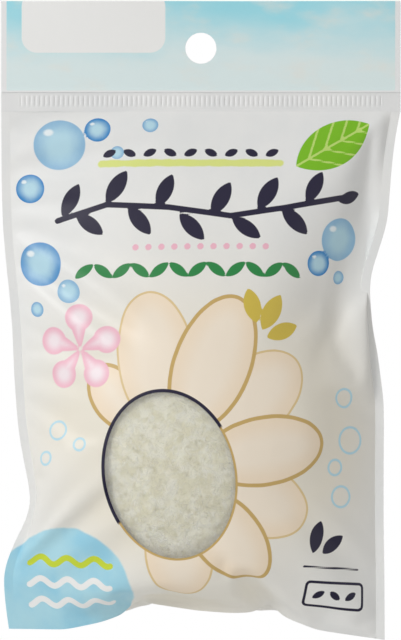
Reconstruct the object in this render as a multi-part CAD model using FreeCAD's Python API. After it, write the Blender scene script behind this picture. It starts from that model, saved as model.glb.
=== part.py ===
import FreeCAD
import Part
import math
import os

# Konjac sponge sealed in a hanging film pouch, in millimetres.
# Origin: centre of the hang hole. +X right, +Y to the back, +Z up.
# The front of the pack faces -Y.

# Film
film_thickness = 0.2
film_spacing = 0.2
seam_gap = 0.03

# Sponge
sponge_width = 74.0
sponge_depth = 35.0
sponge_height = 82.0
sponge_travel = 5.0
sponge_clearance = 0.65

# Room that the pouch leaves round the sponge
side_room = 14.7
head_room = 43.0
foot_room = 5.2

# Header and its hang hole
hole_diameter = 8.0
hole_to_top = 12.2
hole_to_fold = 11.2
fold_gap = 0.5

# Crimped seal under the header
crimp_height = 4.5
crimp_rib_pitch = 1.26
crimp_rib_width = 0.5
crimp_rib_length = 2.8
crimp_rib_rise = 0.15
crimp_rib_margin = 4.5

# Side seals and the outline that the full pouch is drawn into
side_seal_width = 2.3
left_waist_inset = 7.6
left_waist_height = 27.0
left_waist_reach_up = 100.0
left_waist_reach_down = 20.0
left_foot_inset = 1.6
right_waist_inset = 7.6
right_waist_height = 79.0
right_waist_reach_up = 48.0
right_waist_reach_down = 28.0
right_foot_inset = 4.2
left_corner_drop = 4.0
right_corner_drop = 6.8

# Film drawn over the sponge
corner_power = 6.0
seam_flat = 1.6
seam_bend = 1.6
grid_across = 37
grid_down = 49
grid_crowding = 0.6

# Air that swells the film out between the sponge and the seams, by direction
head_fullness = 1.4
foot_fullness = 6.0
left_fullness = 3.0
right_fullness = 0.8
fullness_power = 3.0
steepest_film = 3.2

# Clear window in the printed front film
window_width = 33.0
window_height = 43.0
window_offset_across = -7.9
window_offset_up = -10.1
window_tilt = 12.0

# Levels and half sizes that follow from the values above
header_half_width = sponge_width / 2 + side_room
fold_level = -hole_to_fold
crimp_top = fold_level - fold_gap / 2
panel_top = crimp_top - crimp_height - seam_gap
sponge_top = panel_top - head_room
sponge_level = sponge_top - sponge_height / 2
panel_bottom = sponge_top - sponge_height - foot_room

# The film hugs the space that the sponge sweeps as it shifts upwards
wrap_half_width = sponge_width / 2 + sponge_clearance
wrap_half_depth = sponge_depth / 2 + sponge_clearance
wrap_half_height = (sponge_height + sponge_travel) / 2 + sponge_clearance
wrap_level = sponge_level + sponge_travel / 2
flat_share = 1 - seam_flat / wrap_half_width

vector = FreeCAD.Vector


def raised_cosine(distance, reach):
    """1 at no distance, 0 from reach on."""
    share = min(abs(distance) / reach, 1.0)
    return (1 + math.cos(math.pi * share)) / 2


def edge_inset(level, waist_inset, waist_height, reach_up, reach_down, foot_inset):
    """How far the full pouch draws an outer edge in, at one level."""
    above = level - (panel_bottom + waist_height)
    if above >= 0:
        return waist_inset * raised_cosine(above, reach_up)
    return foot_inset + (waist_inset - foot_inset) * raised_cosine(above, reach_down)


def left_edge(level):
    inset = edge_inset(level, left_waist_inset, left_waist_height,
                       left_waist_reach_up, left_waist_reach_down, left_foot_inset)
    return -header_half_width + inset


def right_edge(level):
    inset = edge_inset(level, right_waist_inset, right_waist_height,
                       right_waist_reach_up, right_waist_reach_down, right_foot_inset)
    return header_half_width - inset


def fullness(level, side, upright, below):
    """How much air stands under the film here; the left side is full where its waist is drawn in."""
    upright_fullness = foot_fullness if below else head_fullness
    side_fullness = right_fullness
    if side < 0:
        side_fullness = left_fullness * (left_edge(level) + header_half_width) / left_waist_inset
    upright_share = upright ** 2 / (side ** 2 + upright ** 2)
    return upright_share * upright_fullness + (1 - upright_share) * side_fullness


def bottom_level(side):
    """Level of the bottom fold, for side from -1 at the left to 1 at the right."""
    drop = left_corner_drop if side < 0 else right_corner_drop
    return panel_bottom - drop * side * side


def smooth_positive(value, rounding):
    """The value where it is above rounding, 0 below -rounding, and a smooth bend between."""
    if value <= -rounding:
        return 0.0
    if value >= rounding:
        return value
    return (value + rounding) ** 2 / (4 * rounding)


def grid_share(index, count):
    """Even steps from 0 to 1, closer together at both ends, where the film bends most."""
    even = index / (count - 1)
    crowded = (1 - math.cos(math.pi * even)) / 2
    return even + (crowded - even) * grid_crowding


def film_depth(across, level, side, drop_share):
    """Half depth of the pouch: film over the swept sponge, then swelling with air out to the seams."""
    centre_share = (panel_top - wrap_level) / (panel_top - panel_bottom)
    below = drop_share >= centre_share
    if below:
        upright = (drop_share - centre_share) / (1 - centre_share)
    else:
        upright = 1 - drop_share / centre_share
    to_seam = (abs(side) ** corner_power + upright ** corner_power) ** (1 / corner_power)
    to_sponge = math.hypot(across / wrap_half_width, (level - wrap_level) / wrap_half_height)
    if to_sponge < 1e-9:
        return wrap_half_depth
    seam_ratio = flat_share * to_sponge / to_seam
    if to_sponge <= 1 / seam_ratio:
        return wrap_half_depth * math.sqrt(1 - to_sponge ** 2)
    slope = wrap_half_depth / math.sqrt(seam_ratio ** 2 - 1)
    lean = slope * to_sponge / math.hypot(across, level - wrap_level)
    straight = smooth_positive(slope * (seam_ratio - to_sponge), lean * seam_bend)
    full_depth = slope * (seam_ratio - 1 / seam_ratio)
    share = min(straight / full_depth, 1.0)
    swell = full_depth * share * (1 - share) ** fullness_power
    wanted = fullness(level, side, upright, below)
    room = smooth_positive(steepest_film / lean - 1, 0.5)
    return straight + swell * wanted * room / (wanted + room)


def film_point(share_across, share_down, facing):
    """A point of a film's inner face; facing is -1 for the front film, 1 for the back."""
    side = 2 * share_across - 1
    level = panel_top + (bottom_level(side) - panel_top) * share_down
    low = left_edge(level) + side_seal_width + seam_gap
    high = right_edge(level) - side_seal_width - seam_gap
    across = low + (high - low) * share_across
    depth = film_depth(across, level, side, share_down) + film_spacing / 2
    return vector(across, facing * depth, level)


def film_normal(share_across, share_down, facing):
    """The film's outward direction at a point of its inner face."""
    step = 1e-3
    left = film_point(max(share_across - step, 0), share_down, facing)
    right = film_point(min(share_across + step, 1), share_down, facing)
    above = film_point(share_across, max(share_down - step, 0), facing)
    below = film_point(share_across, min(share_down + step, 1), facing)
    normal = (right - left).cross(below - above)
    normal.normalize()
    return normal if normal.y * facing > 0 else normal * -1


def knot_counts(count):
    """How often each knot of a cubic through its two end points counts."""
    return [4] + [1] * (count - 4) + [4]


def smooth_curve(points):
    """A cubic curve over a row of control points, which it never overshoots."""
    curve = Part.BSplineCurve()
    counts = knot_counts(len(points))
    curve.buildFromPolesMultsKnots(points, counts, list(range(len(counts))), False, 3)
    return curve


def smooth_surface(rows):
    """A cubic surface over a grid of control points, which it never overshoots."""
    surface = Part.BSplineSurface()
    across = knot_counts(len(rows))
    down = knot_counts(len(rows[0]))
    surface.buildFromPolesMultsKnots(rows, across, down, list(range(len(across))),
                                     list(range(len(down))), False, False, 3, 3)
    return surface


def film_panel(facing):
    """One bulging film of the pouch as a thin closed solid."""
    inner_rows = []
    outer_rows = []
    for i in range(grid_across):
        inner_row = []
        outer_row = []
        for j in range(grid_down):
            shares = (grid_share(i, grid_across), grid_share(j, grid_down))
            point = film_point(*shares, facing)
            inner_row.append(point)
            outer_row.append(point + film_normal(*shares, facing) * film_thickness)
        inner_rows.append(inner_row)
        outer_rows.append(outer_row)
    inner = smooth_surface(inner_rows)
    outer = smooth_surface(outer_rows)
    faces = [inner.toShape(), outer.toShape()]
    left, right, top, bottom = inner.bounds()
    for place in (left, right):
        faces.append(Part.makeRuledSurface(inner.uIso(place).toShape(), outer.uIso(place).toShape()))
    for place in (top, bottom):
        faces.append(Part.makeRuledSurface(inner.vIso(place).toShape(), outer.vIso(place).toShape()))
    shell = Part.Shell(faces)
    shell.sewShape()
    solid = Part.Solid(shell)
    if solid.Volume < 0:
        solid.reverse()
    return solid


def header_film(facing):
    """One film of the header, a flat sheet with the punched hang hole."""
    low = 0.0 if facing > 0 else -film_thickness
    sheet = Part.makeBox(2 * header_half_width, film_thickness, hole_to_top - crimp_top - fold_gap,
                         vector(-header_half_width, low, crimp_top + fold_gap))
    punch = Part.makeCylinder(hole_diameter / 2, film_thickness, vector(0, low, 0), vector(0, 1, 0))
    return sheet.cut(punch)


def crimp_seal():
    """The two films welded into one band, with a row of pressed upright ribs."""
    band = Part.makeBox(2 * header_half_width, 2 * film_thickness, crimp_height,
                        vector(-header_half_width, -film_thickness, crimp_top - crimp_height))
    row_width = 2 * (header_half_width - crimp_rib_margin)
    rib_count = int(row_width / crimp_rib_pitch)
    first_rib = -(rib_count - 1) * crimp_rib_pitch / 2
    rib_bottom = crimp_top - crimp_height / 2 - crimp_rib_length / 2
    ribs = []
    for i in range(rib_count):
        rib_left = first_rib + i * crimp_rib_pitch - crimp_rib_width / 2
        rib = Part.makeBox(crimp_rib_width, crimp_rib_rise + film_thickness, crimp_rib_length,
                           vector(rib_left, -film_thickness - crimp_rib_rise, rib_bottom))
        ribs.append(rib)
    return band.multiFuse(ribs).removeSplitter()


def side_seal(edge, inward):
    """A welded strip along one side; inward is 1 at the left edge and -1 at the right."""
    corner_level = bottom_level(-inward)
    front = -film_thickness - film_spacing / 2
    outer_points = []
    inner_points = []
    for j in range(grid_down):
        level = panel_top + (corner_level - panel_top) * grid_share(j, grid_down)
        outer_points.append(vector(edge(level), front, level))
        inner_points.append(vector(edge(level) + inward * side_seal_width, front, level))
    outline = Part.Wire([
        smooth_curve(outer_points).toShape(),
        Part.makeLine(outer_points[-1], inner_points[-1]),
        smooth_curve(inner_points).toShape(),
        Part.makeLine(inner_points[0], outer_points[0]),
    ])
    return Part.Face(outline).extrude(vector(0, -2 * front, 0))


def window_cutter():
    """A tilted oval prism that reaches through the front film only."""
    oval = Part.Ellipse(vector(0, 0, 0), window_height / 2, window_width / 2)
    face = Part.Face(Part.Wire([oval.toShape()]))
    face.rotate(vector(0, 0, 0), vector(1, 0, 0), 90)
    face.rotate(vector(0, 0, 0), vector(0, 1, 0), 90 - window_tilt)
    face.translate(vector(window_offset_across, 0, sponge_level + window_offset_up))
    return face.extrude(vector(0, -sponge_depth, 0))


def sponge_body():
    """The oval puff of konjac foam."""
    stretch = FreeCAD.Matrix()
    stretch.scale(sponge_width / 2, sponge_depth / 2, sponge_height / 2)
    stretch.move(vector(0, 0, sponge_level))
    return Part.makeSphere(1.0).transformGeometry(stretch)


def build():
    """Every node of the pack, by name."""
    printed_film = film_panel(-1)
    cutter = window_cutter()
    return {
        "header_front": header_film(-1),
        "header_back": header_film(1),
        "crimp_seal": crimp_seal(),
        "front_film": printed_film.cut(cutter),
        "clear_window": printed_film.common(cutter),
        "back_film": film_panel(1),
        "left_seal": side_seal(left_edge, 1),
        "right_seal": side_seal(right_edge, -1),
        "sponge": sponge_body(),
    }


os.makedirs("parts", exist_ok=True)
for name, shape in build().items():
    shape.exportStep(f"parts/{name}.step")
    box = shape.BoundBox
    print(f"{name:13s} solids {len(shape.Solids)} valid {shape.isValid()} volume {shape.Volume:.1f} "
          f"x {box.XMin:.1f}..{box.XMax:.1f} y {box.YMin:.2f}..{box.YMax:.2f} z {box.ZMin:.1f}..{box.ZMax:.1f}")
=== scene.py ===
import math
import bpy
import numpy as np
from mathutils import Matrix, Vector


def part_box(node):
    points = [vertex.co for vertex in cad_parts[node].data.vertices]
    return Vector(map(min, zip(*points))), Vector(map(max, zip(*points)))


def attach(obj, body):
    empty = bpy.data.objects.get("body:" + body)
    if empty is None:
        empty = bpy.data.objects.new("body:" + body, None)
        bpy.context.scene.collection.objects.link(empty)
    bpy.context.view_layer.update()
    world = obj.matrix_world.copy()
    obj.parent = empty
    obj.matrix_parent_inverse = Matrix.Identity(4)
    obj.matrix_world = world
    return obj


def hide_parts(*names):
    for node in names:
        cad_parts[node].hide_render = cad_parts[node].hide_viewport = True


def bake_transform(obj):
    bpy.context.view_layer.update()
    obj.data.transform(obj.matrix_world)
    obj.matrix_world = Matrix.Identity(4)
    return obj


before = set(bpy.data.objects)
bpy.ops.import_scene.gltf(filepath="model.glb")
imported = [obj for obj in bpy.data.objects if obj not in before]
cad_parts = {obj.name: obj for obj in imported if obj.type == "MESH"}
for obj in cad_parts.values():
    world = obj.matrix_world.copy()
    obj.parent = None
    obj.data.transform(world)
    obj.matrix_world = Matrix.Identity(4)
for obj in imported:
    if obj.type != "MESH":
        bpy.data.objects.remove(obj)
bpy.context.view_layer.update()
scene = bpy.context.scene
scene.tool_settings.mesh_select_mode = (False, False, True)
mm = 0.001

headerLow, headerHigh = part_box("header_front")
crimpLow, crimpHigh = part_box("crimp_seal")
spongeLow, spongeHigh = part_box("sponge")
packWidth = headerHigh[0] - headerLow[0]
panelTop = crimpLow[2]  # the pouch hangs from the crimp seal's lower edge
foldLevel = (headerLow[2] + crimpHigh[2]) / 2
spongeCentre = (Vector(spongeLow) + Vector(spongeHigh)) / 2
spongeHalf = (Vector(spongeHigh) - Vector(spongeLow)) / 2


def clearSelection():
    if bpy.context.object and bpy.context.object.mode != "OBJECT":
        bpy.ops.object.mode_set(mode="OBJECT")
    bpy.ops.object.select_all(action="DESELECT")


def pick(piece):
    clearSelection()
    piece.select_set(True)
    bpy.context.view_layer.objects.active = piece


def setAll(holder, settings):
    for name, value in settings.items():
        setattr(holder, name, value)


def addModifier(piece, kind, **settings):
    step = piece.modifiers.new(kind.lower(), kind)
    setAll(step, settings)
    return step


def applyModifier(piece, kind, **settings):
    step = addModifier(piece, kind, **settings)
    pick(piece)
    bpy.ops.object.modifier_apply(modifier=step.name)


def applyPlace(piece):
    pick(piece)
    bpy.ops.object.transform_apply(location=True, rotation=True, scale=True)


def copyPiece(piece, name):
    pick(piece)
    bpy.ops.object.duplicate()
    twin = bpy.context.object
    twin.name = name
    return twin


def remove(piece):
    bpy.data.objects.remove(piece, do_unlink=True)


def readPoints(piece):
    points = np.empty(len(piece.data.vertices) * 3)
    piece.data.vertices.foreach_get("co", points)
    return points.reshape(-1, 3)


def writePoints(piece, points):
    piece.data.vertices.foreach_set("co", np.ascontiguousarray(points).ravel())
    piece.data.update()


def smoothShade(piece):
    pick(piece)
    bpy.ops.object.shade_smooth_by_angle(angle=math.radians(60))


def dropFaces(piece, unwanted):
    pick(piece)
    piece.data.polygons.foreach_set("select", unwanted)
    bpy.ops.object.mode_set(mode="EDIT")
    bpy.ops.mesh.delete(type="FACE")
    bpy.ops.object.mode_set(mode="OBJECT")


def cutWith(piece, cutter, operation="DIFFERENCE"):
    applyModifier(piece, "BOOLEAN", object=cutter, operation=operation, solver="EXACT")


def uprightGrid(name, columns, rows, width, height, centreX, centreZ):
    clearSelection()
    bpy.ops.mesh.primitive_grid_add(x_subdivisions=columns, y_subdivisions=rows, size=1)
    sheet = bpy.context.object
    sheet.name = name
    sheet.scale = (width, height, 1)
    sheet.rotation_euler = (math.pi / 2, 0, 0)  # stands up, facing the front
    sheet.location = (centreX, 0, centreZ)
    applyPlace(sheet)
    return sheet


def layFlatMap(piece, width, height, top):
    points = readPoints(piece)  # the film's flat places, kept as its UV map
    corners = np.empty(len(piece.data.loops), dtype=np.int32)
    piece.data.loops.foreach_get("vertex_index", corners)
    across = points[corners, 0] / width + 0.5
    down = (points[corners, 2] - top) / height + 1
    layer = piece.data.uv_layers.active or piece.data.uv_layers.new(name="flat")
    layer.name = "flat"
    layer.uv.foreach_set("vector", np.stack([across, down], 1).astype(np.float32).ravel())


def flatPlaces(piece, width, height, top):
    corners = np.empty(len(piece.data.loops), dtype=np.int32)
    piece.data.loops.foreach_get("vertex_index", corners)
    places = np.empty(len(corners) * 2, dtype=np.float32)
    piece.data.uv_layers["flat"].uv.foreach_get("vector", places)
    places = places.reshape(-1, 2)
    flat = np.zeros((len(piece.data.vertices), 2))
    flat[corners] = places
    return (flat - (0.5, 1)) * (width, height) / mm + (0, top / mm)


# Print shapes: signed distances in millimetres, negative inside

def discField(points, x, z, radius):
    return np.hypot(points[:, 0] - x, points[:, 1] - z) - radius


def turned(points, x, z, degrees):
    angle = math.radians(degrees)
    dx, dz = points[:, 0] - x, points[:, 1] - z
    return dx * math.cos(angle) + dz * math.sin(angle), dz * math.cos(angle) - dx * math.sin(angle)


def ovalField(points, x, z, halfLong, halfWide, degrees=0):
    along, aside = turned(points, x, z, degrees)
    share = np.hypot(along / halfLong, aside / halfWide)
    steep = np.hypot(along / halfLong ** 2, aside / halfWide ** 2)
    return share * (share - 1) / np.maximum(steep, 1e-6)


def leafField(points, x, z, halfLong, halfWide, degrees):
    along, aside = turned(points, x, z, degrees)
    radius = (halfLong ** 2 + halfWide ** 2) / (2 * halfWide)
    return np.hypot(along, np.abs(aside) + radius - halfWide) - radius


def dropField(points, x, z, halfLong, halfWide, degrees):
    along, aside = turned(points, x, z, degrees)  # round at the far end, pointed at the near one
    taper = halfWide * np.clip((along + halfLong) / (2 * halfLong), 0, 1) ** 0.7
    ball = np.hypot(along - halfLong + halfWide, aside) - halfWide
    cone = np.maximum(np.abs(aside) - taper, np.maximum(-halfLong - along, along - halfLong + halfWide))
    return np.minimum(ball, cone)


def strokeField(points, line, halfWide):
    nearest = np.full(len(points), 1e3)
    for (ax, az), (bx, bz) in zip(line[:-1], line[1:]):
        run = np.array((bx - ax, bz - az))
        share = np.clip(((points - (ax, az)) @ run) / (run @ run), 0, 1)
        foot = share[:, None] * run + (ax, az)
        nearest = np.minimum(nearest, np.hypot(*(points - foot).T))
    return nearest - halfWide


def boxField(points, x, z, halfWide, halfHigh, corner):
    over = np.abs(points - (x, z)) - (halfWide - corner, halfHigh - corner)
    return np.hypot(*np.maximum(over, 0).T) + np.minimum(over.max(1), 0) - corner


def union(fields):
    return np.minimum.reduce(list(fields))


def leafRowField(points, row):
    places = np.linspace(row["from"], row["to"], row["count"])
    return union(leafField(points, x, row["z"], row["halfLong"], row["halfWide"], row["tilt"] * (-1) ** i)
                 for i, x in enumerate(places))


def storeField(piece, name, values):
    layer = piece.data.attributes.new(name, "FLOAT", "POINT")
    layer.data.foreach_set("value", np.ascontiguousarray(values, dtype=np.float32))


# Shader helpers

def srgb(red, green, blue):
    def channel(value):
        value /= 255
        return value / 12.92 if value <= 0.04045 else ((value + 0.055) / 1.055) ** 2.4
    return (channel(red), channel(green), channel(blue), 1)


def addNode(tree, kind, inputs=None, **settings):
    step = tree.nodes.new("ShaderNode" + kind)
    setAll(step, settings)
    for socket, source in (inputs or {}).items():
        if isinstance(source, bpy.types.NodeSocket):
            tree.links.new(source, step.inputs[socket])
        else:
            step.inputs[socket].default_value = source
    return step


def newMaterial(name, roughness, **sockets):
    material = bpy.data.materials.new(name)
    material.use_nodes = True
    shader = material.node_tree.nodes["Principled BSDF"]
    shader.inputs["Roughness"].default_value = roughness
    for socket, value in sockets.items():
        shader.inputs[socket.replace("_", " ")].default_value = value
    return material, material.node_tree, shader


def wear(piece, material):
    piece.data.materials.clear()
    piece.data.materials.append(material)


def wearBehind(piece, material):
    piece.data.materials.append(material)
    for face in piece.data.polygons:
        face.material_index = int(face.normal.y > 0.3)


def mixColours(tree, factor, first, second):
    step = addNode(tree, "Mix", {0: factor, 6: first, 7: second}, data_type="RGBA")
    return step.outputs[2]


def fieldOf(tree, name):
    return addNode(tree, "Attribute", attribute_name=name).outputs["Fac"]


def maths(tree, operation, first, second=0.0):
    return addNode(tree, "Math", {0: first, 1: second}, operation=operation).outputs[0]


def ramp(tree, value, low, high, lowTo=0.0, highTo=1.0):
    step = addNode(tree, "MapRange", {"Value": value, "From Min": low, "From Max": high,
                                      "To Min": lowTo, "To Max": highTo})
    step.interpolation_type = "SMOOTHSTEP"
    return step.outputs["Result"]


def noise(tree, place, scale, detail=3.0, stretch=(1, 1, 1)):
    moved = addNode(tree, "Mapping", {"Vector": place, "Scale": stretch}).outputs["Vector"]
    return addNode(tree, "TexNoise", {"Vector": moved, "Scale": scale, "Detail": detail}).outputs["Fac"]


def flatCoordinates(tree):
    return addNode(tree, "UVMap", uv_map="flat").outputs["UV"]


def objectCoordinates(tree):
    return addNode(tree, "TexCoord").outputs["Object"]


def addBump(tree, shader, height, strength, distance):
    step = addNode(tree, "Bump", {"Height": height, "Strength": strength, "Distance": distance})
    tree.links.new(step.outputs["Normal"], shader.inputs["Normal"])


def paintInk(tree, base, field, colour, edge=0.10):
    return mixColours(tree, ramp(tree, field, edge, -edge), base, colour)


# The film pouch: two flat sheets, sealed at the sides, drawn in and filled by the sponge and trapped air
pouchFill = {
    "columns": 46,            # cells across the flat film; the outer ones are the side seals
    "rows": 61,
    "flatLength": 139 * mm,   # crimp seal to bottom fold, laid flat
    "simScale": 10,           # the cloth solver works best at about a metre
    "fillFrames": 30,
    "lastFrame": 60,
    "startBulge": 0.6,        # millimetres that the flat films stand apart before filling, at most
    "startGap": 0.1,          # and at least
    "startDepth": 0.4 * mm,   # half depth of the filler before filling
    "sideClearance": 0.3 * mm,
    "travel": 5 * mm,         # the sponge may ride up by this much inside the film
    # where the sealed edges end up once the bag is drawn in: x, y, z in millimetres
    "leftSeam": [
        (-51.7, 0, -16), (-51.6, 0, -35), (-51.2, 0, -47), (-50.3, 0, -57), (-49.6, 0, -63),
        (-48.8, 0, -73), (-48.3, 0, -85), (-47.7, 0, -94), (-47.0, 0, -100.4), (-45.9, 0, -106.6),
        (-44.6, 0, -112.8), (-44.0, 0, -117.5), (-45.2, 0, -122), (-48.5, 0, -128.4),
        (-50.8, 0, -134.6), (-51.1, 0, -137.7), (-50.6, 0, -144), (-49.7, 0, -150.3)],
    "rightSeam": [
        (51.7, 0, -16), (50.7, 0, -21), (49.9, 0, -26), (49.3, -0.2, -32), (48.8, -0.4, -38.3),
        (48.3, -0.7, -44.5), (47.5, -0.8, -47.6), (46.0, -0.9, -52.3), (44.4, -1.0, -57),
        (43.7, -1.0, -60.5), (43.8, -0.9, -65), (44.4, -0.7, -72.4), (45.7, -0.5, -78.7),
        (46.5, -0.3, -85), (47.3, -0.1, -91), (47.4, 0, -97), (47.3, 0, -110), (47.3, 0, -122),
        (47.5, 0, -135), (47.6, 0, -153.2)],
    "bottomFold": [
        (-49.7, 0, -150.3), (-35, 0, -150.5), (-25.9, 0, -148.6), (-20.3, 0.6, -146.6),
        (-16.8, 2.4, -142.8), (-12.5, 0, -143.8), (-1, -0.6, -145.5), (8, -0.6, -146.2),
        (13.9, 0, -146.0), (17.5, 2.6, -143.4), (21.6, 0.6, -147.3), (30.1, 0, -150.6),
        (47.6, 0, -153.2)],
    "rounding": 5.0,          # how softly those lines turn, in millimetres
    "pressed": {              # the soft crease that packing leaves across the upper right
        "from": (51, -14), "to": (34.5, -76), "radius": 5.5, "depth": -6.2, "comesFrom": 20},
    "apart": 0.14,            # front and back films never closer than this
    "cloth": {
        "quality": 8, "mass": 0.3, "use_pressure": True, "uniform_pressure_force": 6,
        "tension_stiffness": 40, "compression_stiffness": 40,
        "shear_stiffness": 20, "bending_stiffness": 5,
        "tension_damping": 10, "compression_damping": 10, "shear_damping": 10, "bending_damping": 1},
    "contact": {"distance_min": 0.003, "collision_quality": 3, "use_self_collision": False},
    "solid": {"thickness_outer": 0.002, "cloth_friction": 2},
}


def softLine(corners, count, rounding):
    corners = np.array(corners, dtype=float)
    run = np.concatenate([[0], np.cumsum(np.linalg.norm(np.diff(corners, axis=0), axis=1))])
    dense = np.linspace(0, run[-1], 600)
    line = np.stack([np.interp(dense, run, corners[:, k]) for k in range(3)], 1)
    width = max(1, round(rounding / (run[-1] / 600)) // 2)
    before, after = 2 * line[0] - line[width:0:-1], 2 * line[-1] - line[-2:-width - 2:-1]
    padded = np.concatenate([before, line, after])
    kernel = np.ones(2 * width + 1) / (2 * width + 1)
    line = np.stack([np.convolve(padded[:, k], kernel, "valid") for k in range(3)], 1)
    run = np.concatenate([[0], np.cumsum(np.linalg.norm(np.diff(line, axis=0), axis=1))])
    places = np.linspace(0, run[-1], count)
    return np.stack([np.interp(places, run, line[:, k]) for k in range(3)], 1) * mm


def seamTargets(places, setting):
    columns, rows = setting["columns"], setting["rows"]
    cell = packWidth / columns
    columnOf = np.rint((places[:, 0] + packWidth / 2) / cell).astype(int)
    rowOf = np.rint((panelTop - places[:, 2]) / setting["flatLength"] * rows).astype(int)
    left = softLine(setting["leftSeam"], rows + 1, setting["rounding"])
    right = softLine(setting["rightSeam"], rows + 1, setting["rounding"])
    fold = softLine(setting["bottomFold"], columns + 1, setting["rounding"] / 3)
    targets = {}
    for i, (column, row) in enumerate(zip(columnOf, rowOf)):
        if row == 0:
            targets[i] = places[i]
        elif row == rows:
            targets[i] = fold[column]
        elif column < 2:
            targets[i] = left[row] + (column * cell, 0, 0)
        elif column > columns - 2:
            targets[i] = right[row] - ((columns - column) * cell, 0, 0)
    return targets


def flatPouch(setting):
    cell = packWidth / setting["columns"]
    middle = panelTop - setting["flatLength"] / 2
    front = uprightGrid("pouch", setting["columns"], setting["rows"],
                        packWidth, setting["flatLength"], 0, middle)
    layFlatMap(front, packWidth, setting["flatLength"], panelTop)
    back = copyPiece(front, "pouchBack")
    inSeal = [abs(face.center.x) > packWidth / 2 - cell for face in back.data.polygons]
    dropFaces(back, inSeal)  # the seals are one welded layer, kept with the front
    bpy.ops.object.mode_set(mode="EDIT")
    bpy.ops.mesh.select_all(action="SELECT")
    bpy.ops.mesh.flip_normals()
    bpy.ops.object.mode_set(mode="OBJECT")
    for sheet, side in ((front, -1), (back, 1)):
        points = readPoints(sheet)
        across = 1 - np.abs(points[:, 0]) / (packWidth / 2 - cell)  # 0 at the side seals
        down = (panelTop - points[:, 2]) / setting["flatLength"]
        loose = np.clip(np.sin(np.pi * np.clip(across, 0, 1) / 2) * np.sin(np.pi * down), 0, 1)
        loose[(across < 1e-3) | (down < 1e-3) | (down > 1 - 1e-3)] = 0
        points[:, 1] = side * (setting["startBulge"] * loose + setting["startGap"] * (loose > 0)) * mm
        writePoints(sheet, points)
        marks = sheet.data.attributes.new("side", "INT", "FACE")
        marks.data.foreach_set("value", [side] * len(sheet.data.polygons))
    pick(front)
    back.select_set(True)
    bpy.ops.object.join()
    bpy.ops.object.mode_set(mode="EDIT")
    bpy.ops.mesh.select_all(action="SELECT")
    bpy.ops.mesh.remove_doubles(threshold=0.02 * mm)
    bpy.ops.object.mode_set(mode="OBJECT")
    return front


def filmTwins(places):
    atPlace = {}  # points of the two films that lie on each other when flat
    for i, (x, y, z) in enumerate(places):
        atPlace.setdefault((round(x / mm, 2), round(z / mm, 2)), []).append((y, i))
    return np.array([[i for _, i in sorted(pair)] for pair in atPlace.values() if len(pair) == 2])


def partFilms(pouch, twins, gap):
    points = readPoints(pouch)
    front, back = points[twins[:, 0], 1], points[twins[:, 1], 1]
    middle, half = (front + back) / 2, np.maximum((back - front) / 2, gap / 2)
    points[twins[:, 0], 1] = middle - half
    points[twins[:, 1], 1] = middle + half
    writePoints(pouch, points)


def makeRoller(setting):
    press = setting["pressed"]
    (ax, az), (bx, bz) = press["from"], press["to"]
    clearSelection()
    bpy.ops.mesh.primitive_uv_sphere_add(segments=32, ring_count=48, radius=1)
    roller = bpy.context.object
    roller.name = "roller"
    halfLong = math.hypot(bx - ax, bz - az) / 2
    roller.scale = Vector((press["radius"], press["radius"], halfLong)) * mm * setting["simScale"]
    roller.rotation_euler = (0, math.atan2(bx - ax, bz - az), 0)
    start = press["depth"] - press["comesFrom"]
    for depth, when in ((start, 1), (press["depth"], setting["fillFrames"])):
        roller.location = Vector(((ax + bx) / 2, depth, (az + bz) / 2)) * mm * setting["simScale"]
        roller.keyframe_insert("location", frame=when)
    return roller


def fillPouch(setting):
    pouch = flatPouch(setting)
    twins = filmTwins(readPoints(pouch))
    targets = seamTargets(readPoints(pouch), setting)
    held = pouch.vertex_groups.new(name="held")
    held.add(list(targets), 1.0, "REPLACE")
    writePoints(pouch, readPoints(pouch) * setting["simScale"])
    pouch.shape_key_add(name="flat")
    drawn = pouch.shape_key_add(name="drawn in")
    for i, place in targets.items():
        drawn.data[i].co = Vector(place) * setting["simScale"]
    for value, when in ((0, 1), (1, setting["fillFrames"])):
        drawn.value = value
        drawn.keyframe_insert("value", frame=when)

    clearSelection()
    bpy.ops.mesh.primitive_uv_sphere_add(segments=64, ring_count=48, radius=1)
    filler = bpy.context.object  # the room that the sponge needs, with its play
    filler.name = "filler"
    rise = Vector((0, 0, setting["travel"] / 2))
    room = spongeHalf + Vector((1, 1, 1)) * setting["sideClearance"] + rise
    filler.location = (spongeCentre + rise) * setting["simScale"]
    for depth, when in ((setting["startDepth"], 1), (room.y, setting["fillFrames"])):
        filler.scale = Vector((room.x, depth, room.z)) * setting["simScale"]
        filler.keyframe_insert("scale", frame=when)
    roller = makeRoller(setting)
    for solid in (filler, roller):
        addModifier(solid, "COLLISION")
        setAll(solid.collision, setting["solid"])

    cloth = addModifier(pouch, "CLOTH")
    setAll(cloth.settings, setting["cloth"])
    setAll(cloth.collision_settings, setting["contact"])
    cloth.settings.vertex_group_mass = "held"
    cloth.settings.effector_weights.gravity = 0
    cloth.point_cache.frame_end = setting["lastFrame"]
    for step in range(1, setting["lastFrame"] + 1):
        scene.frame_set(step)
    pick(pouch)
    bpy.ops.object.convert(target="MESH")
    writePoints(pouch, readPoints(pouch) / setting["simScale"])
    pouch.vertex_groups.clear()
    remove(filler)
    remove(roller)
    scene.frame_set(1)
    partFilms(pouch, twins, setting["apart"] * mm)
    depths = readPoints(pouch)[:, 1]
    print("pouch filled:", len(pouch.data.vertices), "points, depth",
          [round(float(v) / mm, 1) for v in (depths.min(), depths.max())])
    return pouch


def takeFaces(pouch, name, wanted):
    piece = copyPiece(pouch, name)
    dropFaces(piece, np.logical_not(wanted))
    return piece


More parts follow.
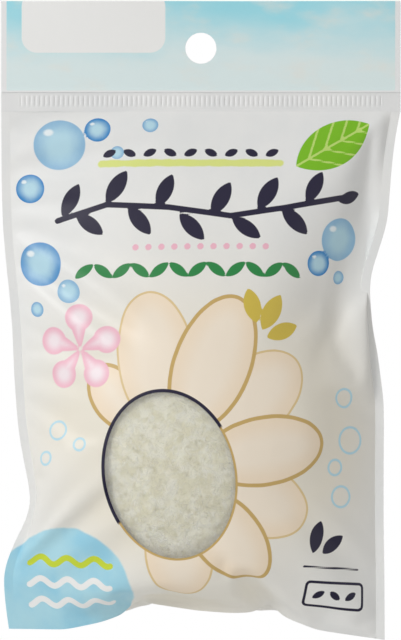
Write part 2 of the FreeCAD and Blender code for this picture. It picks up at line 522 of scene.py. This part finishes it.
def splitPouch(pouch, setting):
    faces = pouch.data.polygons
    side = np.empty(len(faces), dtype=np.int32)
    pouch.data.attributes["side"].data.foreach_get("value", side)
    across = np.empty(len(faces))
    layer = pouch.data.uv_layers["flat"].uv
    for i, face in enumerate(faces):
        across[i] = sum(layer[k].vector.x for k in face.loop_indices) / face.loop_total
    cell = 1 / setting["columns"]
    left, right = across < cell, across > 1 - cell
    panel = ~left & ~right
    return (takeFaces(pouch, "front_film", panel & (side < 0)),
            takeFaces(pouch, "back_film", panel & (side > 0)),
            takeFaces(pouch, "left_seal", left), takeFaces(pouch, "right_seal", right))


def thicken(piece, gauge):
    levels = filmGauge["levels"]
    applyModifier(piece, "SUBSURF", levels=levels, render_levels=levels,
                  boundary_smooth="PRESERVE_CORNERS")
    applyModifier(piece, "SOLIDIFY", thickness=gauge, offset=0)
    smoothShade(piece)


filmGauge = {"panel": 0.12 * mm, "seal": 0.16 * mm, "levels": 2}
pouch = fillPouch(pouchFill)
frontFilm, backFilm, leftSeal, rightSeal = splitPouch(pouch, pouchFill)
remove(pouch)
for panel in (frontFilm, backFilm):
    thicken(panel, filmGauge["panel"])
for seal in (leftSeal, rightSeal):
    thicken(seal, filmGauge["seal"])
print("films split:", len(frontFilm.data.polygons), "front faces")

# The clear window is cut out of the printed front film
windowOval = {"width": 33.0, "height": 43.0, "tilt": 12.0, "x": -7.9, "z": -110.1,
              "cutFrom": -29.0, "cutTo": -3.0}


def windowCutter(setting):
    clearSelection()
    bpy.ops.mesh.primitive_cylinder_add(vertices=128, radius=1, depth=1)
    cutter = bpy.context.object
    near, far = setting["cutFrom"], setting["cutTo"]
    cutter.scale = (setting["width"] / 2 * mm, setting["height"] / 2 * mm, (far - near) * mm)
    applyPlace(cutter)
    cutter.rotation_euler = (math.pi / 2, 0, 0)
    applyPlace(cutter)
    cutter.rotation_euler = (0, -math.radians(setting["tilt"]), 0)
    cutter.location = (setting["x"] * mm, (near + far) / 2 * mm, setting["z"] * mm)
    applyPlace(cutter)
    return cutter


cutter = windowCutter(windowOval)
clearWindow = copyPiece(frontFilm, "clear_window")
cutWith(clearWindow, cutter, "INTERSECT")
cutWith(frontFilm, cutter)
remove(cutter)
print("window cut:", len(clearWindow.data.polygons), "window faces")

# The header: two flat films with the punched hole, bending at the fold
headerFilm = {
    "columns": 120, "rows": 56,
    "gauge": 0.12 * mm,
    "apart": 0.09 * mm,
    "wave": 0.45 * mm,        # how far the free top edge bows
    "waveLength": 74 * mm,
    "ridge": 0.28 * mm,       # the pressed crease along the fold
    "ridgeReach": 0.5 * mm,
    "holeRadius": 4 * mm, "punchDepth": 10 * mm,
    "tab": {"x": -27.8, "z": 6.8, "halfWide": 18.6, "halfHigh": 8.0, "corner": 4.0},
    "printMargin": 1.4,
    "ink": {"pale": srgb(229, 244, 244), "deep": srgb(161, 228, 241), "cloud": srgb(240, 238, 230),
            "tab": srgb(248, 248, 246), "bare": srgb(242, 243, 243)},
}


def makeHeaderFilm(name, side, setting):
    low, high = crimpHigh[2], headerHigh[2]
    film = uprightGrid(name, setting["columns"], setting["rows"],
                       packWidth, high - low, 0, (low + high) / 2)
    layFlatMap(film, packWidth, high - low, high)
    points = readPoints(film)
    free = np.clip((points[:, 2] - foldLevel) / (high - foldLevel), 0, 1) ** 1.5
    bow = setting["wave"] * free * np.sin(2 * np.pi * points[:, 0] / setting["waveLength"] + 0.6)
    crease = setting["ridge"] * np.exp(-((points[:, 2] - foldLevel) / setting["ridgeReach"]) ** 2)
    points[:, 1] = bow - crease + side * setting["apart"]
    writePoints(film, points)
    applyModifier(film, "SOLIDIFY", thickness=setting["gauge"], offset=0)
    clearSelection()
    bpy.ops.mesh.primitive_cylinder_add(
        vertices=96, radius=setting["holeRadius"], depth=setting["punchDepth"],
        rotation=(math.pi / 2, 0, 0))
    punch = bpy.context.object
    cutWith(film, punch)
    remove(punch)
    smoothShade(film)
    return film


headerFront = makeHeaderFilm("header_front", -1, headerFilm)
headerBack = makeHeaderFilm("header_back", 1, headerFilm)
print("header made")

# The crimp seal: both films welded and pressed into upright ribs
crimpBand = {
    "ribPitch": 1.26 * mm, "cellsPerRib": 8, "rows": 16,
    "ribRise": 0.22 * mm, "grooveWidth": 0.24 * mm, "ribLength": 2.8 * mm, "ribMargin": 4.5 * mm,
    "ribFade": 0.4 * mm, "gauge": 0.3 * mm, "overlap": 0.5 * mm,
}


def makeCrimpBand(setting):
    low, high = crimpLow[2] - setting["overlap"], crimpHigh[2]
    columns = round(packWidth / setting["ribPitch"]) * setting["cellsPerRib"]
    band = uprightGrid("crimp_seal", columns, setting["rows"],
                       packWidth, high - low, 0, (low + high) / 2)
    layFlatMap(band, packWidth, high - low, high)
    points = readPoints(band)
    off = (points[:, 0] / setting["ribPitch"] + 0.5) % 1 - 0.5  # pitches from the nearest groove
    groove = np.exp(-(off * setting["ribPitch"] / setting["grooveWidth"]) ** 2)
    middle = (crimpLow[2] + crimpHigh[2]) / 2
    inside = (setting["ribLength"] / 2 - np.abs(points[:, 2] - middle),
              packWidth / 2 - setting["ribMargin"] - np.abs(points[:, 0]))
    upright, across = (np.clip(reach / setting["ribFade"], 0, 1) for reach in inside)
    points[:, 1] = setting["ribRise"] * (groove - 0.5) * (upright * across)
    writePoints(band, points)
    applyModifier(band, "SOLIDIFY", thickness=setting["gauge"], offset=0)
    smoothShade(band)
    return band


crimpSeal = makeCrimpBand(crimpBand)
print("crimp seal pressed")

# The sponge: an oval puff of fine open foam, roughened inwards so that it stays in its space
spongePuff = {
    "density": 7,
    "relief": [  # name, pattern, depth, size
        ("lump", "CLOUDS", 0.3 * mm, 9 * mm), ("cell", "VORONOI", 0.4 * mm, 1.7 * mm),
        ("fuzz", "CLOUDS", 0.2 * mm, 0.8 * mm)],
    # two tones here are painted shade, laid into the low places of the foam's bump: one in its broad
    # hollows, the darkest in its fine pores
    "tone": {"deep": srgb(236, 231, 201), "pale": srgb(252, 249, 230), "shadedHollow": srgb(210, 204, 168),
             "thread": srgb(252, 250, 240), "shadedPore": srgb(188, 184, 150)},
}


def makeSponge(setting):
    clearSelection()
    bpy.ops.mesh.primitive_ico_sphere_add(subdivisions=setting["density"], radius=1)
    puff = bpy.context.object
    puff.name = "sponge"
    puff.scale = spongeHalf
    puff.location = spongeCentre
    applyPlace(puff)
    for name, kind, depth, size in setting["relief"]:
        pattern = bpy.data.textures.new(name, kind)
        pattern.noise_scale = size
        applyModifier(puff, "DISPLACE", texture=pattern, strength=-depth, mid_level=0,
                      texture_coords="GLOBAL")
    smoothShade(puff)
    return puff


sponge = makeSponge(spongePuff)
print("sponge made:", len(sponge.data.polygons), "faces")

# Printed design on the front film, in flat film millimetres from the hang hole's centre
frontPrint = {
    "bubbles": [  # x, z, radius, depth of tone
        (-36.5, -25.5, 6.8, 0.25), (-26.6, -21.6, 3.4, 1.0), (-44.2, -37.0, 3.8, 1.0),
        (-21.5, -28.0, 1.8, 0.3), (-13.0, -20.6, 2.1, 0.5), (37.6, -50.6, 5.6, 0.25),
        (31.6, -57.0, 3.3, 1.0), (38.6, -60.4, 1.8, 0.4), (-42.0, -57.0, 5.9, 0.8),
        (-34.6, -64.4, 3.2, 0.3), (-43.8, -69.0, 2.0, 0.5)],
    "rings": [(39.4, -92.0, 2.4), (41.2, -103.0, 3.4), (36.6, -110.0, 2.0), (-38.4, -101.0, 2.4),
              (-41.6, -108.4, 1.7), (-31.6, -104.6, 1.6), (38.6, -117.6, 2.7)],
    "stem": [(-37.0, -45.7), (-24.0, -41.8), (-8.0, -42.8), (8.0, -45.2), (22.0, -43.0), (37.0, -39.8)],
    "stemHalfWide": 0.75,
    "stemLeaves": [  # x, z, half length, half width, turn
        (-33.5, -40.4, 4.8, 2.0, 62), (-28.5, -46.8, 4.6, 1.9, -38), (-21.5, -37.2, 5.0, 2.1, 58),
        (-15.5, -46.2, 4.8, 2.0, -52), (-9.0, -38.4, 4.8, 2.0, 66), (-2.0, -48.0, 4.8, 2.0, -48),
        (5.5, -40.6, 5.0, 2.1, 62), (12.0, -48.4, 4.6, 1.9, -36), (17.5, -39.2, 5.0, 2.1, 60),
        (24.5, -46.4, 4.8, 2.0, -44), (29.5, -37.4, 4.6, 1.9, 64), (39.5, -39.6, 3.6, 1.6, 18)],
    "seedRow": {"count": 9, "from": -23.5, "to": 18.5, "z": -28.2,
                "halfLong": 1.9, "halfWide": 1.0, "tilt": 24},
    "highlight": {"x": -2.4, "z": -31.0, "halfWide": 24.0, "halfHigh": 0.95, "corner": 0.9},
    "dotRow": {"count": 11, "from": -16.5, "to": 17.0, "z": -53.2, "radius": 0.85},
    "leafRow": {"count": 12, "from": -30.0, "to": 24.0, "z": -59.2,
                "halfLong": 3.1, "halfWide": 1.25, "tilt": 38},
    "bigLeaf": {"x": 34.2, "z": -26.0, "halfLong": 11.2, "halfWide": 5.8, "turn": 32},
    "pinkDrops": [
        (-31.8, -73.6, 5.8, 3.7, 90), (-37.6, -78.0, 5.6, 3.6, 162), (-26.0, -78.0, 5.6, 3.6, 18),
        (-35.4, -84.6, 5.6, 3.6, 234), (-28.2, -84.6, 5.6, 3.6, 306)],
    "petals": [  # x, z, half length, half width, turn, how fine the outline is; painted in this order
        (-21.6, -92.4, 9.5, 6.2, 128, 1.0), (-4.9, -133.0, 12.5, 8.6, 278, 1.8),
        (-11.2, -82.4, 17.5, 9.8, 97, 1.8), (14.7, -118.3, 14.5, 9.2, -20, 1.8),
        (12.6, -93.0, 16.5, 9.6, 40, 1.8), (3.4, -83.4, 18.0, 9.6, 69, 1.0),
        (16.9, -105.8, 15.5, 8.6, 10, 1.0), (7.8, -128.3, 14.0, 8.4, -50, 1.0)],
    "mustardLeaves": [
        (13.6, -68.6, 4.6, 2.2, 104), (18.6, -70.2, 5.2, 2.4, 62), (21.6, -75.0, 4.6, 2.1, 22)],
    "hill": {"x": -36.5, "z": -146.5, "halfLong": 19.5, "halfWide": 19.5},
    "waves": {"white": (-142.0, -147.6), "yellow": (-136.2,), "from": -45.0, "to": -23.0,
              "length": 7.3, "swing": 1.0, "halfWide": 0.8},
    "corner": {  # small navy group, bottom right
        "leaves": [(31.6, -128.0, 4.4, 1.9, 74), (36.2, -130.0, 3.8, 1.7, 38)],
        "rule": [(28.0, -135.6), (44.0, -136.6)], "ruleHalfWide": 0.3,
        "frame": {"x": 37.0, "z": -143.4, "halfWide": 8.0, "halfHigh": 3.4, "corner": 1.0, "turn": -3},
        "frameLeaves": [
            (32.6, -143.2, 1.9, 0.9, 32), (37.0, -143.4, 1.9, 0.9, -38), (41.4, -143.6, 1.9, 0.9, 32)]},
    "ink": {
        "navy": srgb(17, 9, 44), "tan": srgb(206, 174, 108), "peach": srgb(249, 230, 204),
        "green": srgb(126, 192, 30), "deepGreen": srgb(36, 132, 66), "yellow": srgb(228, 236, 140),
        "pink": srgb(246, 190, 206), "palePink": srgb(252, 238, 242), "palePeach": srgb(251, 238, 219),
        "paleTan": srgb(228, 202, 150), "paleGreen": srgb(196, 226, 120), "lime": srgb(206, 222, 60),
        "mustard": srgb(214, 190, 80), "paleBlue": srgb(190, 226, 240), "deepBlue": srgb(40, 132, 200),
        "glint": srgb(240, 249, 252), "white": srgb(246, 246, 244),
        "hill": srgb(180, 225, 238), "deepHill": srgb(156, 214, 236)},
}

# Finish of the film, shared by all the pieces made of it
filmFinish = {
    "roughness": 0.38, "gloss": 0.34,
    "frontWhite": (srgb(238, 239, 238), srgb(243, 243, 241)),
    "backWhite": (srgb(234, 235, 235), srgb(241, 241, 240)),
    "cream": srgb(241, 235, 220),  # where the sponge lies right behind the film
    "creamWithin": 0.8, "creamFade": 3.5,  # gap to the sponge, in millimetres
}


def newFilm(name):
    return newMaterial(name, filmFinish["roughness"], Specular_IOR_Level=filmFinish["gloss"])


def paintContact(piece):
    away = (readPoints(piece) - np.array(spongeCentre)) / np.array(spongeHalf)
    gap = (np.linalg.norm(away, axis=1) - 1) * spongeHalf.y / mm
    beyond = np.maximum(gap - filmFinish["creamWithin"], 0)
    storeField(piece, "contact", np.exp(-beyond / filmFinish["creamFade"]))


def paintFrontFields(piece, design):
    flat = flatPlaces(piece, packWidth, pouchFill["flatLength"], panelTop)
    seen = readPoints(piece)[:, [0, 2]] / mm
    bubbles = np.array(design["bubbles"])
    share = np.hypot(flat[:, :1] - bubbles[:, 0], flat[:, 1:] - bubbles[:, 1]) / bubbles[:, 2]
    nearest = share.argmin(1)
    storeField(piece, "bubbleShare", share.min(1))
    storeField(piece, "bubbleTone", bubbles[nearest, 3])
    glintX = (flat[:, 0] - bubbles[nearest, 0]) / bubbles[nearest, 2] + 0.42
    glintZ = (flat[:, 1] - bubbles[nearest, 1]) / bubbles[nearest, 2] - 0.48
    storeField(piece, "bubbleGlint", np.hypot(glintX, glintZ * 1.4))
    storeField(piece, "ring", union(discField(flat, *ring) for ring in design["rings"]))

    corner = design["corner"]
    navyLeaves = design["stemLeaves"] + corner["leaves"] + corner["frameLeaves"]
    leaves = [leafField(flat, *leaf) for leaf in navyLeaves]
    stems = [strokeField(flat, design["stem"], design["stemHalfWide"]),
             strokeField(flat, corner["rule"], corner["ruleHalfWide"])]
    storeField(piece, "navy", union(leaves + stems + [leafRowField(flat, design["seedRow"])]))
    tilted = dict(corner["frame"])
    turn = tilted.pop("turn")
    spun = np.stack(turned(flat, tilted["x"], tilted["z"], turn), 1) + (tilted["x"], tilted["z"])
    storeField(piece, "frame", boxField(spun, **tilted))
    storeField(piece, "highlight", boxField(flat, **design["highlight"]))
    dots = design["dotRow"]
    storeField(piece, "dots", union(discField(flat, x, dots["z"], dots["radius"])
                                    for x in np.linspace(dots["from"], dots["to"], dots["count"])))
    storeField(piece, "leafRow", leafRowField(flat, design["leafRow"]))
    big = design["bigLeaf"]
    storeField(piece, "bigLeaf", leafField(flat, *big.values()))
    along, aside = turned(flat, big["x"], big["z"], big["turn"])
    veins = np.minimum(np.abs(aside), np.abs((np.abs(aside) - along * 0.9) % 4.4 - 2.2) * 0.74)
    storeField(piece, "vein", veins)
    storeField(piece, "pink", union(dropField(flat, *drop) for drop in design["pinkDrops"]))
    storeField(piece, "mustard", union(leafField(flat, *leaf) for leaf in design["mustardLeaves"]))

    for i, (x, z, halfLong, halfWide, degrees, _) in enumerate(design["petals"]):
        storeField(piece, f"petal{i}", ovalField(flat, x, z, halfLong, halfWide, degrees))
    waves = design["waves"]
    along = np.linspace(waves["from"], waves["to"], 40)
    swing = waves["swing"] * np.sin(2 * np.pi * along / waves["length"])
    for tone in ("white", "yellow"):
        storeField(piece, tone + "Wave", union(
            strokeField(flat, np.stack([along, level + swing], 1), waves["halfWide"])
            for level in waves[tone]))

    oval = windowOval
    storeField(piece, "windowEdge", ovalField(
        seen, oval["x"], oval["z"], oval["height"] / 2, oval["width"] / 2, 90 + oval["tilt"]))
    storeField(piece, "ringSide", (seen[:, 1] - oval["z"]) - (seen[:, 0] - oval["x"]) * 0.95)
    storeField(piece, "hill", ovalField(flat, **design["hill"]))


def frontFilmMaterial(design):
    ink = design["ink"]
    material, tree, shader = newFilm("printed film")
    flat = flatCoordinates(tree)
    cloudy = noise(tree, flat, 9, 4)
    fine = noise(tree, flat, 60, 3)
    colour = mixColours(tree, ramp(tree, cloudy, 0.3, 0.7), *filmFinish["frontWhite"])
    colour = mixColours(tree, fieldOf(tree, "contact"), colour, filmFinish["cream"])
    wobble = maths(tree, "MULTIPLY", maths(tree, "SUBTRACT", noise(tree, flat, 34, 2), 0.5), 0.7)

    # petals with their hand-drawn outline
    for i, petal in enumerate(design["petals"]):
        petalField = fieldOf(tree, f"petal{i}")
        petalTone = mixColours(tree, ramp(tree, petalField, -7.0, 0.0), ink["palePeach"], ink["peach"])
        colour = paintInk(tree, colour, petalField, petalTone)
        handDrawn = maths(tree, "ADD", petalField, maths(tree, "MULTIPLY", wobble, 0.3))
        petalLine = maths(tree, "ABSOLUTE", handDrawn)
        fineness = petal[5]
        lineTone = ink["tan"] if fineness == 1 else ink["paleTan"]
        line = ramp(tree, petalLine, 0.58 / fineness, 0.42 / fineness)
        colour = mixColours(tree, line, colour, lineTone)

    # watercolour hill, bottom left, with wave strokes
    hillField = maths(tree, "ADD", fieldOf(tree, "hill"), wobble)
    hillTone = mixColours(tree, ramp(tree, cloudy, 0.35, 0.68), ink["hill"], ink["deepHill"])
    colour = mixColours(tree, ramp(tree, hillField, 0.4, -0.4), colour, hillTone)
    colour = paintInk(tree, colour, fieldOf(tree, "whiteWave"), ink["white"])
    colour = paintInk(tree, colour, fieldOf(tree, "yellowWave"), ink["lime"])

    # soft pink drops and dots, mustard leaves
    pinkField = fieldOf(tree, "pink")
    pinkTone = mixColours(tree, ramp(tree, pinkField, -2.8, 0.0), ink["palePink"], ink["pink"])
    colour = paintInk(tree, colour, pinkField, pinkTone, 0.2)
    colour = paintInk(tree, colour, fieldOf(tree, "dots"), ink["pink"])
    colour = paintInk(tree, colour, fieldOf(tree, "mustard"), ink["mustard"])

    # bubbles: darker rims, a pale glint, mottled paint
    share = fieldOf(tree, "bubbleShare")
    rimStart = maths(tree, "ADD", share, maths(tree, "MULTIPLY", wobble, 0.5))
    rim = maths(tree, "MULTIPLY", ramp(tree, rimStart, 0.3, 1.05),
                maths(tree, "ADD", maths(tree, "MULTIPLY", fieldOf(tree, "bubbleTone"), 0.75), 0.25))
    paint = mixColours(tree, rim, ink["paleBlue"], ink["deepBlue"])
    glint = ramp(tree, fieldOf(tree, "bubbleGlint"), 0.26, 0.12)
    paint = mixColours(tree, glint, paint, ink["glint"])
    colour = mixColours(tree, ramp(tree, share, 1.01, 0.97), colour, paint)
    ringLine = maths(tree, "ABSOLUTE", fieldOf(tree, "ring"))
    colour = mixColours(tree, ramp(tree, ringLine, 0.40, 0.2), colour, ink["paleBlue"])

    # stems, leaves, the highlight stroke and the small frame
    stroke = maths(tree, "ADD", fieldOf(tree, "highlight"), wobble)
    colour = paintInk(tree, colour, stroke, ink["yellow"], 0.25)
    frameLine = maths(tree, "ABSOLUTE", fieldOf(tree, "frame"))
    colour = mixColours(tree, ramp(tree, frameLine, 0.45, 0.28), colour, ink["navy"])
    colour = paintInk(tree, colour, fieldOf(tree, "navy"), ink["navy"])
    colour = paintInk(tree, colour, fieldOf(tree, "leafRow"), ink["deepGreen"])
    vein = ramp(tree, fieldOf(tree, "vein"), 0.36, 0.22)
    leafTone = mixColours(tree, vein, ink["green"], ink["paleGreen"])
    colour = paintInk(tree, colour, fieldOf(tree, "bigLeaf"), leafTone)

    # outline of the clear window: navy above and to the left, a thin tan line elsewhere
    edge = fieldOf(tree, "windowEdge")
    navySide = ramp(tree, fieldOf(tree, "ringSide"), -0.6, 0.6)
    colour = mixColours(tree, ramp(tree, edge, 0.62, 0.5), colour, ink["tan"])
    navyLine = maths(tree, "MULTIPLY", ramp(tree, edge, 0.92, 0.78), navySide)
    colour = mixColours(tree, navyLine, colour, ink["navy"])
    tree.links.new(colour, shader.inputs["Base Color"])
    addBump(tree, shader, fine, 0.06, 0.0004)
    return material


def headerMaterial(setting):
    ink = setting["ink"]
    material, tree, shader = newFilm("washed header film")
    flat = flatCoordinates(tree)
    streaks = noise(tree, flat, 3.2, 5, (1, 0.55, 1))
    cloud = noise(tree, flat, 7, 5, (1, 0.4, 1))
    place = addNode(tree, "SeparateXYZ", {0: flat})
    height = maths(tree, "MULTIPLY", place.outputs["Y"], 0.75)
    deep = maths(tree, "ADD", height, maths(tree, "MULTIPLY", streaks, 0.7))
    wash = mixColours(tree, ramp(tree, deep, 0.5, 1.2), ink["pale"], ink["deep"])
    wash = mixColours(tree, ramp(tree, cloud, 0.48, 0.75, 0, 0.6), wash, ink["cloud"])
    colour = mixColours(tree, ramp(tree, fieldOf(tree, "tab"), -0.12, 0.12), ink["tab"], wash)
    printed = ramp(tree, fieldOf(tree, "printEdge"), -0.1, 0.1)
    colour = mixColours(tree, printed, ink["bare"], colour)
    tree.links.new(colour, shader.inputs["Base Color"])
    addBump(tree, shader, noise(tree, flat, 40, 3), 0.05, 0.0004)
    return material


def paintHeaderFields(piece, setting):
    low, high = crimpHigh[2], headerHigh[2]
    flat = flatPlaces(piece, packWidth, high - low, high)
    storeField(piece, "tab", boxField(flat, *setting["tab"].values()))
    sides = packWidth / 2 / mm - setting["printMargin"] - np.abs(flat[:, 0])
    storeField(piece, "printEdge", np.minimum(sides, flat[:, 1] - foldLevel / mm - 0.2))


def whiteFilmMaterial():
    material, tree, shader = newFilm("white film")
    place = objectCoordinates(tree)
    cloudy = ramp(tree, noise(tree, place, 60, 4), 0.3, 0.7)
    colour = mixColours(tree, cloudy, *filmFinish["backWhite"])
    colour = mixColours(tree, fieldOf(tree, "contact"), colour, filmFinish["cream"])
    tree.links.new(colour, shader.inputs["Base Color"])
    addBump(tree, shader, noise(tree, place, 420, 3), 0.06, 0.0004)
    return material


def clearFilmMaterial():
    material, tree, shader = newMaterial("clear film", 0.16, Base_Color=(0.9, 0.9, 0.88, 1), Alpha=0.14,
                                         Specular_IOR_Level=0.5)
    # film seen at a slant lets less through: its gloss shows more, and so does its pale base colour, a
    # painted reflection
    slant = addNode(tree, "LayerWeight", {"Blend": 0.5}).outputs["Facing"]
    tree.links.new(ramp(tree, slant, 0.4, 0.95, 0.14, 0.85), shader.inputs["Alpha"])
    return material


def foamMaterial(tone):
    material, tree, shader = newMaterial(
        "konjac foam", 0.85, Specular_IOR_Level=0.2, Subsurface_Weight=0.25,
        Subsurface_Radius=(1.0, 0.9, 0.7), Subsurface_Scale=0.002)
    place = objectCoordinates(tree)
    mottle = noise(tree, place, 290, 4)
    shadedHollow = noise(tree, place, 560, 2)
    grain = noise(tree, place, 1500, 4)
    drawn = addNode(tree, "TexNoise", {"Vector": place, "Scale": 420, "Detail": 3, "Distortion": 1.2})
    threads = maths(tree, "ABSOLUTE", maths(tree, "SUBTRACT", drawn.outputs["Fac"], 0.5))
    colour = mixColours(tree, ramp(tree, mottle, 0.38, 0.62), tone["deep"], tone["pale"])
    # painted shade: the broad hollows of the bump are darkened
    colour = mixColours(tree, ramp(tree, shadedHollow, 0.46, 0.24, 0, 0.8), colour, tone["shadedHollow"])
    colour = mixColours(tree, ramp(tree, threads, 0.035, 0.0, 0, 0.6), colour, tone["thread"])
    # painted shade: the fine pores, low in the bump, are darkened
    colour = mixColours(tree, ramp(tree, grain, 0.36, 0.24, 0, 0.45), colour, tone["shadedPore"])
    tree.links.new(colour, shader.inputs["Base Color"])
    height = maths(tree, "ADD", maths(tree, "MULTIPLY", ramp(tree, threads, 0.05, 0.0), 0.5), shadedHollow)
    addBump(tree, shader, maths(tree, "ADD", height, maths(tree, "MULTIPLY", grain, 0.6)), 0.6, 0.0005)
    return material


for film in (frontFilm, leftSeal, rightSeal):  # the print runs on over the side seals
    paintFrontFields(film, frontPrint)
for film in (frontFilm, backFilm):
    paintContact(film)
for film in (headerFront, headerBack):
    paintHeaderFields(film, headerFilm)
whiteFilm = whiteFilmMaterial()
printedFilm = frontFilmMaterial(frontPrint)
wear(frontFilm, printedFilm)
wear(headerFront, headerMaterial(headerFilm))
wear(headerBack, whiteFilm)
wear(crimpSeal, whiteFilm)
wear(backFilm, whiteFilm)
for seal in (leftSeal, rightSeal):
    wear(seal, printedFilm)
    wearBehind(seal, whiteFilm)
wear(clearWindow, clearFilmMaterial())
wear(sponge, foamMaterial(spongePuff["tone"]))
print("finishes painted")

# Each piece rides its body and stands for its solid
for piece, node, slot in (
        (headerFront, "header_front", "printed_film"), (headerBack, "header_back", "white_film"),
        (crimpSeal, "crimp_seal", "white_film"), (frontFilm, "front_film", "printed_film"),
        (clearWindow, "clear_window", "clear_film"), (backFilm, "back_film", "white_film"),
        (leftSeal, "left_seal", "white_film"), (rightSeal, "right_seal", "white_film"),
        (sponge, "sponge", "konjac_foam")):
    piece.name = node + "_visual"
    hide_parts(node)
for film in (headerFront, headerBack):
    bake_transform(film)
for piece in (crimpSeal, frontFilm, clearWindow, backFilm, leftSeal, rightSeal):
    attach(piece, "pouch")
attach(sponge, "sponge")

# Stage, light and camera: a pale floor fading into a white surround, a soft key from the upper left
studio = {
    "floorLevel": -176 * mm, "floorRadius": 0.34, "plainRadius": 0.10,
    "worldStrength": 0.37,
    "key": {"place": (-0.75, -0.70, 0.40), "size": 0.45, "power": 6.2},
    "fill": {"place": (0.7, -0.8, -0.15), "size": 0.6, "power": 0.7, "colour": (1.0, 0.93, 0.80)},
    "behind": {"place": (0.55, 0.85, 0.35), "size": 0.6, "power": 4.0},  # so the back isn't in the dark
}
view = {
    "distance": 1.2, "pixel": 0.2589 * mm, "holePixel": (200.9, 48.2), "image": (401, 640),
}


def whiteToCamera(tree):
    rays = addNode(tree, "LightPath")
    mirrored = maths(tree, "MAXIMUM", rays.outputs["Is Glossy Ray"], rays.outputs["Is Transmission Ray"])
    return maths(tree, "MAXIMUM", rays.outputs["Is Camera Ray"], mirrored)


def paleFloor(setting):
    clearSelection()
    bpy.ops.mesh.primitive_circle_add(vertices=96, radius=setting["floorRadius"], fill_type="NGON",
                                      location=(0, 0, setting["floorLevel"]))
    floor = bpy.context.object
    floor.name = "floor"
    applyPlace(floor)
    material, tree, paint = newMaterial("pale floor", 0.9, Base_Color=(0.86, 0.86, 0.86, 1))
    level = addNode(tree, "VectorMath", {0: objectCoordinates(tree), 1: (1, 1, 0)}, operation="MULTIPLY")
    away = addNode(tree, "VectorMath", {0: level.outputs[0]}, operation="LENGTH").outputs["Value"]
    fade = ramp(tree, away, setting["plainRadius"], setting["floorRadius"] * 0.9)
    glow = addNode(tree, "Emission", {"Color": (1, 1, 1, 1), "Strength": 1.0})
    seen = maths(tree, "MULTIPLY", whiteToCamera(tree), fade)
    blend = addNode(tree, "MixShader", {0: seen, 1: paint.outputs[0], 2: glow.outputs[0]})
    tree.links.new(blend.outputs[0], tree.nodes["Material Output"].inputs["Surface"])
    wear(floor, material)


def whiteSurround(setting):
    world = bpy.data.worlds.new("studio")
    world.use_nodes = True
    tree = world.node_tree
    ground = tree.nodes["Background"]
    ground.inputs["Color"].default_value = (1, 1, 1, 1)
    ground.inputs["Strength"].default_value = setting["worldStrength"]
    white = addNode(tree, "Background", {"Color": (1, 1, 1, 1), "Strength": 1.0})
    blend = addNode(tree, "MixShader", {
        0: whiteToCamera(tree), 1: ground.outputs[0], 2: white.outputs[0]})
    tree.links.new(blend.outputs[0], tree.nodes["World Output"].inputs["Surface"])
    scene.world = world


def softLamp(name, place, size, power, colour=(1, 1, 1)):
    lamp = bpy.data.lights.new(name, "AREA")
    lamp.color = colour
    lamp.size = size
    lamp.energy = power
    holder = bpy.data.objects.new(name, lamp)
    scene.collection.objects.link(holder)
    holder.location = place
    aim = Vector((0, 0, -0.07)) - Vector(place)
    holder.rotation_euler = aim.to_track_quat("-Z", "Y").to_euler()


paleFloor(studio)
whiteSurround(studio)
for lamp in ("key", "fill", "behind"):
    softLamp(lamp, **studio[lamp])

lens = bpy.data.cameras.new("camera")
camera = bpy.data.objects.new("camera", lens)
scene.collection.objects.link(camera)
across = (view["image"][0] / 2 - view["holePixel"][0]) * view["pixel"]
down = (view["holePixel"][1] - view["image"][1] / 2) * view["pixel"]
camera.location = (across, -view["distance"], down)
camera.rotation_euler = (math.pi / 2, 0, 0)
lens.sensor_fit = "VERTICAL"
lens.sensor_height = 36
lens.lens = 36 * view["distance"] / (view["image"][1] * view["pixel"])
scene.camera = camera
scene.view_settings.view_transform = "Standard"
print("stage set")
